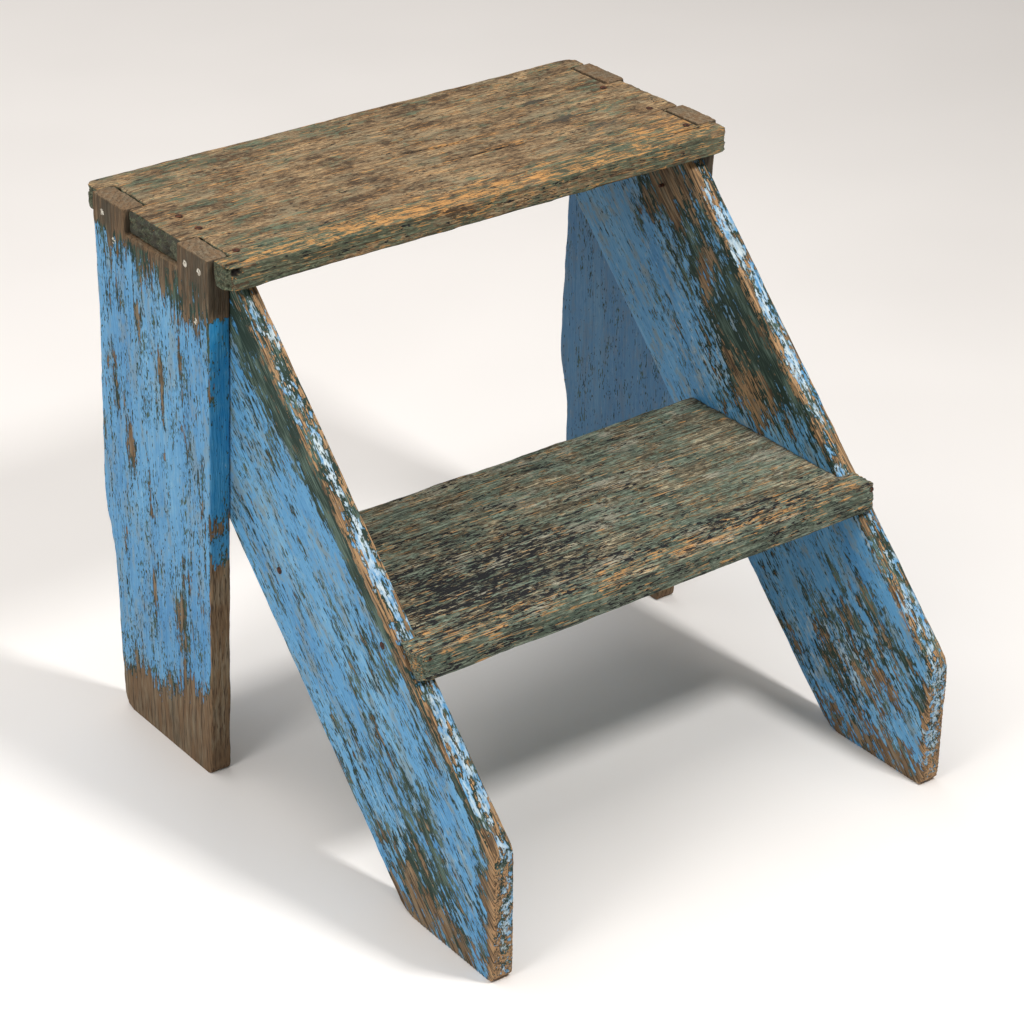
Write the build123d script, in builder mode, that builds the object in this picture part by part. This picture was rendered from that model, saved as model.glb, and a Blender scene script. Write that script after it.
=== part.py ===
"""Two-step wooden stool: six nailed boards, in millimetres.

+X runs along the treads, +Y from the front to the back, +Z up. The origin lies on the floor, at the
centre of the stool's footprint. The top tread is notched over two wide uprights, whose ears come up
flush with its surface. Two slanted stringers lie against the uprights' inner faces and carry the step.
"""

from build123d import *
from math import atan, cos, hypot, sin
import os

# Overall sizes
overall_width = 508.0      # over the uprights' outer faces
top_height = 482.0         # floor to the top tread's surface
step_height = 243.0        # floor to the step's surface
toe_reach = 338.0          # stringers' toes ahead of the uprights' front edge

# Boards
upright_thickness = 20.0
stringer_thickness = 19.0
top_thickness = 20.5
step_thickness = 23.0
upright_width = 174.0      # front to back, under the top tread
stringer_width = 164.0     # square to its slant
step_depth = 218.0

# Top tread and the ears that come up through it
front_nose = 23.0          # ahead of the uprights
rear_nose = 21.0           # behind the uprights
front_ear_width = 45.5
rear_ear_width = 49.5
top_end_recess = 4.0       # top tread's ends inside the uprights' outer faces
joint_gap = 0.3            # play beside each ear
nose_round = 8.0
plan_corner_round = 7.0

# Upright outline
foot_setback = 32.0        # front edge leans back by this much at the floor
rear_foot_inset = 2.0      # rear edge at the floor, inside its line at the top
swell_depth = 12.0         # the rear edge swells out by this much,
swell_height = 205.0       # most at this height,
swell_foot = 143.0         # starting here
swell_drop = 66.5          # and ending this far under the top tread
rear_foot_round = 14.0
front_foot_round = 5.0
upright_arris = 2.5

# Stringer outline
toe_height = 116.5         # plumb cut at the toe
head_gap = 2.0             # stringers' heads under the top tread
head_inset = 2.0           # stringers' heads inside the uprights' rear edge
toe_round = 8.0
heel_round = 12.0
stringer_front_round = 6.0
stringer_rear_round = 2.5

# Step
step_overhang = 31.0       # ahead of the stringers' front edge, at the step's surface
ear_inset = 1.5            # step's ears inside the stringers' outer faces

# Nails and their filling
nail_radius = 1.5
nail_head_radius = 3.0
nail_head_height = 1.2
nail_length = 42.0
long_nail_length = 52.0
nail_fit = 0.02            # radial play of a nail in its hole
nail_set = 1.5             # filled heads lie this far under the surface
ear_nail_drop = 13.5       # under the top tread's surface
front_ear_nails = (13.5, 33.5)
rear_ear_nail = 15.0       # from the uprights' rear edge
front_head_nail = (22.0, 37.0)   # into a stringer's head: behind the front edge, under the top tread
rear_head_nail = (31.0, 12.0)    # the same, ahead of the rear edge
front_step_nail = 49.0     # behind the step's nose
rear_step_nail = 27.5      # ahead of the step's rear edge
top_nails = {-1: (6.0, 60.0, 89.0), 1: (6.0, 55.0, 118.0)}   # behind the uprights' front edge

# Places that follow from the sizes
half_width = overall_width / 2
under_top = top_height - top_thickness
under_step = step_height - step_thickness
inner_upright = half_width - upright_thickness
inner_stringer = inner_upright - stringer_thickness
stringer_middle = (inner_upright + inner_stringer) / 2
head_height = under_top - head_gap
slant = toe_reach / (under_top - toe_height)
slant_angle = atan(slant)
level_width = stringer_width / cos(slant_angle)
front_y = (toe_reach - upright_width - rear_nose) / 2    # uprights' front edge
rear_y = front_y + upright_width
toe_y = front_y - toe_reach
tongue_front = front_y + front_ear_width
tongue_rear = rear_y - rear_ear_width


def stringer_front(height):
    """Where a stringer's front edge is, at a height."""
    return front_y - (under_top - height) * slant


step_front = stringer_front(step_height) - step_overhang
step_rear = step_front + step_depth


# Nail places: each is a plane on the surface, facing out of the wood
def side_planes(side, reach, places):
    """Planes on an outer face, for (y, z) places."""
    return [Plane(origin=(side * reach, y, z), z_dir=(side, 0, 0)) for y, z in places]


def ear_places():
    """Nails through the uprights' ears into the top tread."""
    height = top_height - ear_nail_drop
    depths = [front_y + step for step in front_ear_nails] + [rear_y - rear_ear_nail]
    return [(y, height) for y in depths]


def head_places():
    """Nails through the uprights into the stringers' heads."""
    front = (front_y + front_head_nail[0], under_top - front_head_nail[1])
    rear = (rear_y - rear_head_nail[0], under_top - rear_head_nail[1])
    return [front, rear]


def step_end_places():
    """Nails through the stringers into the step's ends."""
    height = (step_height + under_step) / 2
    return [(step_front + front_step_nail, height), (step_rear - rear_step_nail, height)]


def top_planes(side):
    """Nails down through the top tread into a stringer's head."""
    return [Plane(origin=(side * stringer_middle, front_y + y, top_height)) for y in top_nails[side]]


def step_ear_plane(side):
    """The nail through a step ear's nose, square to the stringer's front edge."""
    outward = (0, -cos(slant_angle), sin(slant_angle))
    centre_y = step_front + nose_round
    centre_z = step_height - nose_round
    y = centre_y + nose_round * outward[1]
    z = centre_z + nose_round * outward[2]
    return Plane(origin=(side * stringer_middle, y, z), z_dir=outward)


def bore(planes, length, depth=0.0):
    """Cut nail holes with a seat for each head, the heads' tops at a depth."""
    below = (Align.CENTER, Align.CENTER, Align.MAX)
    with Locations(*planes):
        Cylinder(nail_radius + nail_fit, depth + length, align=below, mode=Mode.SUBTRACT)
        Cylinder(nail_head_radius + nail_fit, depth + nail_head_height, align=below, mode=Mode.SUBTRACT)


def relieve(planes):
    """Open the rounded surface above each head."""
    above = (Align.CENTER, Align.CENTER, Align.MIN)
    with Locations(*planes):
        Cylinder(nail_head_radius + nail_fit, nail_head_radius, align=above, mode=Mode.SUBTRACT)


def drive(planes, length, depth=0.0):
    """Add nails to the part in hand, each head's top at a depth under its plane."""
    below = (Align.CENTER, Align.CENTER, Align.MAX)
    for plane in planes:
        head = plane.offset(-depth)
        with Locations(head):
            Cylinder(nail_head_radius, nail_head_height, align=below)
            Cylinder(nail_radius, length, align=below)


def fill(planes):
    """Add filling over sunk heads to the part in hand."""
    below = (Align.CENTER, Align.CENTER, Align.MAX)
    with Locations(*planes):
        Cylinder(nail_head_radius, nail_set, align=below)


ear_nail_planes = {side: side_planes(side, half_width, ear_places()) for side in (-1, 1)}
head_nail_planes = {side: side_planes(side, half_width, head_places()) for side in (-1, 1)}
step_end_planes = {side: side_planes(side, inner_upright, step_end_places()) for side in (-1, 1)}
step_ear_planes = [step_ear_plane(side) for side in (-1, 1)]


# Boards
def make_upright(side):
    """A wide upright board with two ears and a notch for the top tread's tongue."""
    front_shoulder = (front_y, under_top)
    front_foot = (front_y + foot_setback, 0)
    rear_foot = (rear_y - rear_foot_inset, 0)
    swell_start = (rear_y, swell_foot)
    swell_end = (rear_y + swell_depth, swell_height)
    rear_corner = (rear_y, top_height)
    with BuildPart() as upright:
        with BuildSketch(Plane.YZ.offset(min(side * half_width, side * inner_upright))):
            with BuildLine():
                Polyline(rear_corner, (front_y, top_height), front_shoulder, front_foot, rear_foot, swell_start)
                Spline(swell_start, swell_end, tangents=[(0, 1), (0, 1)])
                Polyline(swell_end, (rear_y, under_top - swell_drop), rear_corner)
            make_face()
            fillet(vertices().group_by(Axis.Y)[0].sort_by(Axis.X)[0], front_foot_round)
            fillet(vertices().group_by(Axis.Y)[0].sort_by(Axis.X)[-1], rear_foot_round)
        extrude(amount=upright_thickness)
        faces_front_back = faces().filter_by(Axis.X, reverse=True).filter_by(Axis.Z, reverse=True)
        long_edges = faces_front_back.edges().filter_by(Axis.X, reverse=True)
        fillet(long_edges, upright_arris)
        with BuildSketch(Plane.YZ.offset(-half_width)):
            with Locations(((tongue_front + tongue_rear) / 2, under_top)):
                Rectangle(tongue_rear - tongue_front, 2 * top_thickness, align=(Align.CENTER, Align.MIN))
        extrude(amount=overall_width, mode=Mode.SUBTRACT)
        bore(ear_nail_planes[side], nail_length, nail_set)
        bore(head_nail_planes[side], nail_length, nail_set)
    return upright.part


def make_stringer(side):
    """A slanted front leg that carries the step and stands behind the top tread's nose."""
    rear_foot = stringer_front(0) + level_width
    head_rear = rear_y - head_inset
    cut_height = (head_rear - rear_foot) / slant
    outline = [
        (stringer_front(head_height), head_height),
        (toe_y, toe_height),
        (toe_y, 0),
        (rear_foot, 0),
        (head_rear, cut_height),
        (head_rear, head_height),
    ]
    with BuildPart() as stringer:
        with BuildSketch(Plane.YZ.offset(min(side * inner_upright, side * inner_stringer))):
            with BuildLine():
                Polyline(*outline, close=True)
            make_face()
            fillet(vertices().group_by(Axis.Y)[0].sort_by(Axis.X)[0], toe_round)
            fillet(vertices().group_by(Axis.Y)[0].sort_by(Axis.X)[-1], heel_round)
        extrude(amount=stringer_thickness)
        toe = faces().filter_by(Axis.Y).sort_by(Axis.Y)[0]
        front = faces().filter_by(on_front_slant)[0]
        fillet(front.edges().filter_by(Axis.X, reverse=True), stringer_front_round)
        toe = faces().filter_by(Axis.Y).sort_by(Axis.Y)[0]
        # The toe's edges run on, tangent, around the foot and up the rear slant
        fillet(toe.edges().filter_by(Axis.X, reverse=True).filter_by(Axis.Z), stringer_rear_round)
        bore(head_nail_planes[side], nail_length, nail_set)
        bore(step_end_planes[side], nail_length)
        bore(top_planes(side), long_nail_length)
        bore([step_ear_plane(side)], nail_length)
    return stringer.part


def on_front_slant(face):
    """Whether a face is a stringer's slanted front edge."""
    middle = face.center()
    return abs(middle.Y - stringer_front(middle.Z)) < 0.01


def make_top():
    """The top tread: notched at both ends for the uprights' ears."""
    length = overall_width - 2 * top_end_recess
    depth = front_nose + upright_width + rear_nose
    middle = (front_y - front_nose + rear_y + rear_nose) / 2
    with BuildPart() as top:
        with BuildSketch(Plane.XY.offset(under_top)):
            with Locations((0, middle)):
                RectangleRounded(length, depth, plan_corner_round)
        extrude(amount=top_thickness)
        fillet(faces().filter_by(Axis.Z).edges().filter_by(Axis.X), nose_round)
        with BuildSketch(Plane.XY.offset(under_top)):
            for side in (-1, 1):
                inner = inner_upright - joint_gap
                ear_x = side * (inner + half_width) / 2
                front_edge = front_y - joint_gap
                rear_edge = rear_y + joint_gap
                with Locations((ear_x, (front_edge + tongue_front + joint_gap) / 2)):
                    Rectangle(half_width - inner, front_ear_width + 2 * joint_gap)
                with Locations((ear_x, (rear_edge + tongue_rear - joint_gap) / 2)):
                    Rectangle(half_width - inner, rear_ear_width + 2 * joint_gap)
        extrude(amount=top_thickness, mode=Mode.SUBTRACT)
        for side in (-1, 1):
            bore(ear_nail_planes[side], nail_length, nail_set)
            bore(top_planes(side), long_nail_length)
    return top.part


def make_step():
    """The lower tread: between the stringers, with ears lapped over their front edges."""
    length = 2 * (inner_upright - ear_inset)
    with BuildPart() as step:
        with BuildSketch(Plane.XY.offset(under_step)):
            with Locations((0, (step_front + step_rear) / 2)):
                RectangleRounded(length, step_depth, plan_corner_round)
        extrude(amount=step_thickness)
        fillet(faces().filter_by(Axis.Z).edges().filter_by(Axis.X), nose_round)
        for side in (-1, 1):
            low = under_step - step_thickness
            high = step_height + step_thickness
            behind = step_rear + step_depth
            outline = [(stringer_front(low), low), (stringer_front(high), high), (behind, high), (behind, low)]
            start = min(side * inner_stringer, side * half_width)
            with BuildSketch(Plane.YZ.offset(start)):
                with BuildLine():
                    Polyline(*outline, close=True)
                make_face()
            extrude(amount=half_width - inner_stringer, mode=Mode.SUBTRACT)
            bore(step_end_planes[side], nail_length)
        bore(step_ear_planes, nail_length)
        relieve(step_ear_planes)
    return step.part


# Fastenings
def make_nails(planes, length, depth=0.0):
    """A group of alike nails, each its own solid."""
    with BuildPart() as nails:
        drive(planes, length, depth)
    return nails.part


def make_filling(planes):
    """The filling over a group of sunk nail heads."""
    with BuildPart() as filling:
        fill(planes)
    return filling.part


pieces = {"top_tread": make_top(), "lower_tread": make_step()}
for name, side in (("left", -1), ("right", 1)):
    upright_nails = ear_nail_planes[side]
    head_nails = head_nail_planes[side]
    pieces[f"{name}_upright"] = make_upright(side)
    pieces[f"{name}_stringer"] = make_stringer(side)
    pieces[f"{name}_ear_nails"] = make_nails(upright_nails, nail_length, nail_set)
    pieces[f"{name}_stringer_nails"] = make_nails(head_nails, nail_length, nail_set)
    pieces[f"{name}_step_end_nails"] = make_nails(step_end_planes[side], nail_length)
    pieces[f"{name}_top_nails"] = make_nails(top_planes(side), long_nail_length)
    pieces[f"{name}_nail_filling"] = make_filling(upright_nails + head_nails)
pieces["step_ear_nails"] = make_nails(step_ear_planes, nail_length)

os.makedirs("parts", exist_ok=True)
for label, piece in pieces.items():
    piece.label = label
    export_step(piece, f"parts/{label}.step")
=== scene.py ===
"""Two-step painted stool: the weathered boards, nails and studio around its CAD frame, in metres.

Six boards are modelled from blocks, cut and rounded, remeshed finely along their grain, and then weathered:
growth rings, furrows, pits and splits are carved into the mesh, and the wear that each place has seen is
kept in vertex attributes that the paint and wood finishes read, along with painted shade for the uprights'
inner faces.
"""

from __future__ import annotations

import logging
import math
from dataclasses import dataclass, field
from enum import Enum
from typing import Callable, Sequence, Union

import bpy
import numpy as np
from mathutils import Euler, Matrix, Vector


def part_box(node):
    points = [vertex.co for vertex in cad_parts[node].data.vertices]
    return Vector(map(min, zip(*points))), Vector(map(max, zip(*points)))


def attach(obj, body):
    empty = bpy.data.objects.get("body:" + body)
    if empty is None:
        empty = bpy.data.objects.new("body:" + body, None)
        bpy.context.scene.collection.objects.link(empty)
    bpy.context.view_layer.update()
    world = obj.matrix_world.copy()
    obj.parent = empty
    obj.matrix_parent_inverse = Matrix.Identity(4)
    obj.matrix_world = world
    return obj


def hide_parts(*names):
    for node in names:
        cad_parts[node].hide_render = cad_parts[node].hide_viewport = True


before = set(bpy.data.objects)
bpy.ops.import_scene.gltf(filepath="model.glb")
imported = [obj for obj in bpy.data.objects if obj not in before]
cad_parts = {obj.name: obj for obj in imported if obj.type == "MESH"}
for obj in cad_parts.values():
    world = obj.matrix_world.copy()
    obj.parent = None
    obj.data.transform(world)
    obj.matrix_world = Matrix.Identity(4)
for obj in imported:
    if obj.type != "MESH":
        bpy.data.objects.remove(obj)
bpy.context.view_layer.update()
log = logging.getLogger("stool")
MM = 0.001
Colour = tuple[int, int, int]
Value = Union[float, bpy.types.NodeSocket]
Shade = Union[Colour, bpy.types.NodeSocket]
Worn = dict["Wear", np.ndarray]
EdgeTest = Callable[[Vector, Vector], bool]


# Sizes read from the frame
@dataclass(frozen=True)
class StoolSizes:
    """The sizes that the boards share, from the CAD nodes' boxes."""

    upright_low: Vector
    upright_high: Vector
    stringer_low: Vector
    stringer_high: Vector
    top_low: Vector
    top_high: Vector
    step_low: Vector
    step_high: Vector
    swell: float = 12.0 * MM
    toe_height: float = 116.5 * MM
    foot_setback: float = 32.0 * MM
    level_width: float = 229.6 * MM
    front_nose: float = 23.0 * MM
    front_ear: float = 45.5 * MM
    rear_ear: float = 49.5 * MM

    @classmethod
    def from_frame(cls) -> StoolSizes:
        """Read the right-hand boards' boxes.

        Returns:
            The shared sizes.
        """
        names = ("right_upright", "right_stringer", "top_tread", "lower_tread")
        corners = [Vector(corner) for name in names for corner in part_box(name)]
        return cls(*corners)

    @property
    def front_y(self) -> float:
        """The uprights' front edge at the top."""
        return self.upright_low.y

    @property
    def rear_y(self) -> float:
        """The uprights' rear edge, without its swell."""
        return self.upright_high.y - self.swell

    @property
    def under_top(self) -> float:
        """The top tread's underside."""
        return self.top_low.z

    @property
    def slant(self) -> float:
        """How far a stringer leans back for each metre of height."""
        return (self.front_y - self.stringer_low.y) / (self.under_top - self.toe_height)

    @property
    def slant_angle(self) -> float:
        """A stringer's lean from upright, in radians."""
        return math.atan(self.slant)

    def stringer_front(self, height: float) -> float:
        """A stringer's front edge at a height."""
        return self.front_y - (self.under_top - height) * self.slant


# Noise
class GrainNoise:
    """Repeatable smooth noise over points in space."""

    def __init__(self, seed: int) -> None:
        """Fill the lattice tables from a seed.

        Args:
            seed: what makes this noise its own.
        """
        source = np.random.default_rng(seed)
        order = source.permutation(256)
        self.order = np.concatenate([order, order, order])
        slopes = source.normal(size=(256, 3))
        self.slopes = slopes / np.linalg.norm(slopes, axis=1, keepdims=True)

    def at(self, points: np.ndarray) -> np.ndarray:
        """Sample the noise.

        Args:
            points: one row of three coordinates for each sample.

        Returns:
            A value for each row, about -1 to 1.
        """
        cell = np.floor(points).astype(int)
        inside = points - cell
        ease = inside**3 * (inside * (inside * 6 - 15) + 10)
        cell &= 255
        total = np.zeros(len(points))
        for corner in range(8):
            step = np.array([(corner >> 2) & 1, (corner >> 1) & 1, corner & 1])
            x, y, z = (cell + step).T
            slopes = self.slopes[self.order[self.order[self.order[x] + y] + z] & 255]
            weight = np.prod(np.where(step, ease, 1 - ease), axis=1)
            total += weight * np.einsum("ij,ij->i", slopes, inside - step)
        return total * 1.6

    def layered(self, points: np.ndarray, layers: int) -> np.ndarray:
        """Add finer layers of the noise, each half as strong.

        Args:
            points: one row of three coordinates for each sample.
            layers: how many layers are added.

        Returns:
            A value for each row.
        """
        total = np.zeros(len(points))
        for layer in range(layers):
            total += self.at(points * 2**layer + 17.3 * layer) / 2**layer
        return total


def ramp(values: np.ndarray, low: float, high: float) -> np.ndarray:
    """Ease values from 0 at low to 1 at high."""
    share = np.clip((values - low) / (high - low), 0, 1)
    return share * share * (3 - 2 * share)


# Mesh tools
def deselect_all() -> None:
    """Leave nothing selected, in object mode."""
    bpy.ops.object.select_all(action="DESELECT")


def only(obj: bpy.types.Object) -> None:
    """Make one object the selected and active one.

    Args:
        obj: the object.
    """
    deselect_all()
    obj.select_set(True)
    bpy.context.view_layer.objects.active = obj


def add_block(name: str, low: Sequence[float], high: Sequence[float]) -> bpy.types.Object:
    """Add a block between two corners, with its place in its mesh.

    Args:
        name: the object's name.
        low: the lowest corner.
        high: the highest corner.

    Returns:
        The block.
    """
    deselect_all()
    middle = [(a + b) / 2 for a, b in zip(low, high)]
    bpy.ops.mesh.primitive_cube_add(size=1, location=middle)
    block = bpy.context.object
    block.name = name
    block.scale = [b - a for a, b in zip(low, high)]
    bpy.ops.object.transform_apply(location=True, rotation=True, scale=True)
    return block


def slice_off(obj: bpy.types.Object, point: Sequence[float], outward: Sequence[float]) -> None:
    """Saw off what lies outside a plane and close the cut.

    Args:
        obj: the board.
        point: a point on the plane.
        outward: the direction of the side that goes.
    """
    only(obj)
    bpy.ops.object.mode_set(mode="EDIT")
    bpy.ops.mesh.select_all(action="SELECT")
    bpy.ops.mesh.bisect(plane_co=point, plane_no=outward, use_fill=True, clear_outer=True)
    bpy.ops.object.mode_set(mode="OBJECT")


def score(obj: bpy.types.Object, point: Sequence[float], normal: Sequence[float]) -> None:
    """Add an edge loop where a plane crosses the mesh.

    Args:
        obj: the board.
        point: a point on the plane.
        normal: the plane's direction.
    """
    only(obj)
    bpy.ops.object.mode_set(mode="EDIT")
    bpy.ops.mesh.select_all(action="SELECT")
    bpy.ops.mesh.bisect(plane_co=point, plane_no=normal)
    bpy.ops.object.mode_set(mode="OBJECT")


def runs_across(a: Vector, b: Vector) -> bool:
    """Whether an edge goes through a board's thickness, along X."""
    return abs(a.x - b.x) > 5 * MM


def bevel_edges(obj: bpy.types.Object, test: EdgeTest, width: float, segments: int) -> None:
    """Round the edges whose two ends pass a test.

    Args:
        obj: the board.
        test: takes an edge's two ends and says whether it is rounded.
        width: how far the rounding reaches.
        segments: how many faces make the rounding.
    """
    only(obj)
    bpy.ops.object.mode_set(mode="EDIT")
    bpy.ops.mesh.select_mode(type="EDGE")
    bpy.ops.mesh.select_all(action="DESELECT")
    bpy.ops.object.mode_set(mode="OBJECT")
    points = obj.data.vertices
    for edge in obj.data.edges:
        edge.select = test(points[edge.vertices[0]].co, points[edge.vertices[1]].co)
    bpy.ops.object.mode_set(mode="EDIT")
    bpy.ops.mesh.bevel(offset=width, segments=segments, affect="EDGES", clamp_overlap=True)
    bpy.ops.object.mode_set(mode="OBJECT")


def cut_away(obj: bpy.types.Object, cutter: bpy.types.Object) -> None:
    """Cut one solid out of another and discard the cutter.

    Args:
        obj: the solid that is cut.
        cutter: the solid that cuts it.
    """
    only(obj)
    cut = obj.modifiers.new("cut", "BOOLEAN")
    cut.operation = "DIFFERENCE"
    cut.solver = "EXACT"
    cut.object = cutter
    bpy.ops.object.modifier_apply(modifier=cut.name)
    bpy.data.objects.remove(cutter)


def mesh_finely(obj: bpy.types.Object, size: float) -> None:
    """Replace a mesh with fine, even faces.

    Args:
        obj: the piece.
        size: about how wide each face is.
    """
    only(obj)
    fine = obj.modifiers.new("fine", "REMESH")
    fine.mode = "VOXEL"
    fine.voxel_size = size
    fine.use_smooth_shade = True
    bpy.ops.object.modifier_apply(modifier=fine.name)


def coordinates(obj: bpy.types.Object) -> np.ndarray:
    """A mesh's vertices, one row each.

    Args:
        obj: the object.

    Returns:
        The places, in metres.
    """
    places = np.empty(len(obj.data.vertices) * 3)
    obj.data.vertices.foreach_get("co", places)
    return places.reshape(-1, 3)


def normals(obj: bpy.types.Object) -> np.ndarray:
    """A mesh's vertex normals, one row each.

    Args:
        obj: the object.

    Returns:
        The unit normals.
    """
    directions = np.empty(len(obj.data.vertices) * 3)
    obj.data.vertices.foreach_get("normal", directions)
    return directions.reshape(-1, 3)


def spread(obj: bpy.types.Object, values: np.ndarray, rounds: int) -> np.ndarray:
    """Blur a vertex value over a mesh by averaging along its edges.

    Args:
        obj: the object.
        values: one number for each vertex.
        rounds: how many times they are averaged.

    Returns:
        The blurred values.
    """
    ends = np.empty(len(obj.data.edges) * 2, dtype=int)
    obj.data.edges.foreach_get("vertices", ends)
    first, second = ends.reshape(-1, 2).T
    count = len(values)
    degree = np.bincount(first, minlength=count) + np.bincount(second, minlength=count)
    for _ in range(rounds):
        total = np.bincount(first, values[second], count) + np.bincount(second, values[first], count)
        values = (values + total) / (1 + degree)
    return values


def keep_attribute(obj: bpy.types.Object, name: str, values: np.ndarray) -> None:
    """Store one number for each vertex."""
    made = obj.data.attributes.new(name, "FLOAT", "POINT")
    made.data.foreach_set("value", values.astype(np.float32))


# Wear
class Wear(Enum):
    """What a place on a board has been through, by the mesh attribute that keeps it, and where the uprights'
    inner faces get painted shade.
    """

    LOST = "wear"
    BARE = "bare"
    CHALKED = "chalk"
    FRESH = "fresh"
    PORES = "pores"
    # Green paint left on the treads; on the uprights it is painted shade that darkens their inner faces.
    GREEN = "green"


@dataclass(frozen=True)
class Patch:
    """A soft-edged spot on a board where one kind of wear is stronger or weaker."""

    kind: Wear
    centre: tuple[float, float, float]
    reach: tuple[float, float, float]
    strength: float = 1.0

    def over(self, points: np.ndarray) -> np.ndarray:
        """The patch's strength at each point, with points in millimetres."""
        away = (points - np.array(self.centre)) / np.array(self.reach)
        return self.strength * np.exp(-np.sum(away**2, axis=1))


@dataclass(frozen=True)
class Split:
    """A crack along the grain, between two places on a board's face."""

    start: tuple[float, float, float]
    end: tuple[float, float, float]
    width: float = 1.2
    depth: float = 2.0
    waver: float = 1.2

    def depth_at(self, points: np.ndarray, noise: GrainNoise) -> np.ndarray:
        """How deep the crack is at each point, in millimetres.

        Args:
            points: the places, in millimetres.
            noise: the board's noise.

        Returns:
            The depth at each place.
        """
        start, end = np.array(self.start), np.array(self.end)
        run = end - start
        share = np.clip((points - start) @ run / (run @ run), 0, 1)
        centre = start + share[:, None] * run
        depth = np.zeros(len(points))
        near = np.linalg.norm(points - centre, axis=1) < self.width + 2 * self.waver
        spots, share, centre = points[near], share[near], centre[near]
        drift = np.stack([noise.at(centre / 14 + shift) for shift in (0.0, 31.7, 63.1)], axis=1)
        away = np.linalg.norm(spots - centre - drift * self.waver, axis=1)
        narrow = self.width * (0.25 + 0.75 * np.sqrt(np.clip(4 * share * (1 - share), 0, 1)))
        depth[near] = self.depth * (1 - ramp(away, narrow * 0.35, narrow))
        return depth


@dataclass(frozen=True)
class Relief:
    """How deeply the weather has carved a board, in millimetres."""

    rings: float = 0.10
    ring_spacing: float = 4.5
    furrows: float = 0.25
    pits: float = 0.20
    sag: float = 0.30
    edge_loss: float = 1.5
    end_loss: float = 0.0
    heart: tuple[float, float] = (-60.0, 15.0)


class Finish(Enum):
    """Names for the boards' finishes, kept on each board but not read."""

    PAINT = "painted_wood"
    TREAD = "worn_tread_wood"
    IRON = "nail_iron"
    FILLING = "filling"


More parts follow.
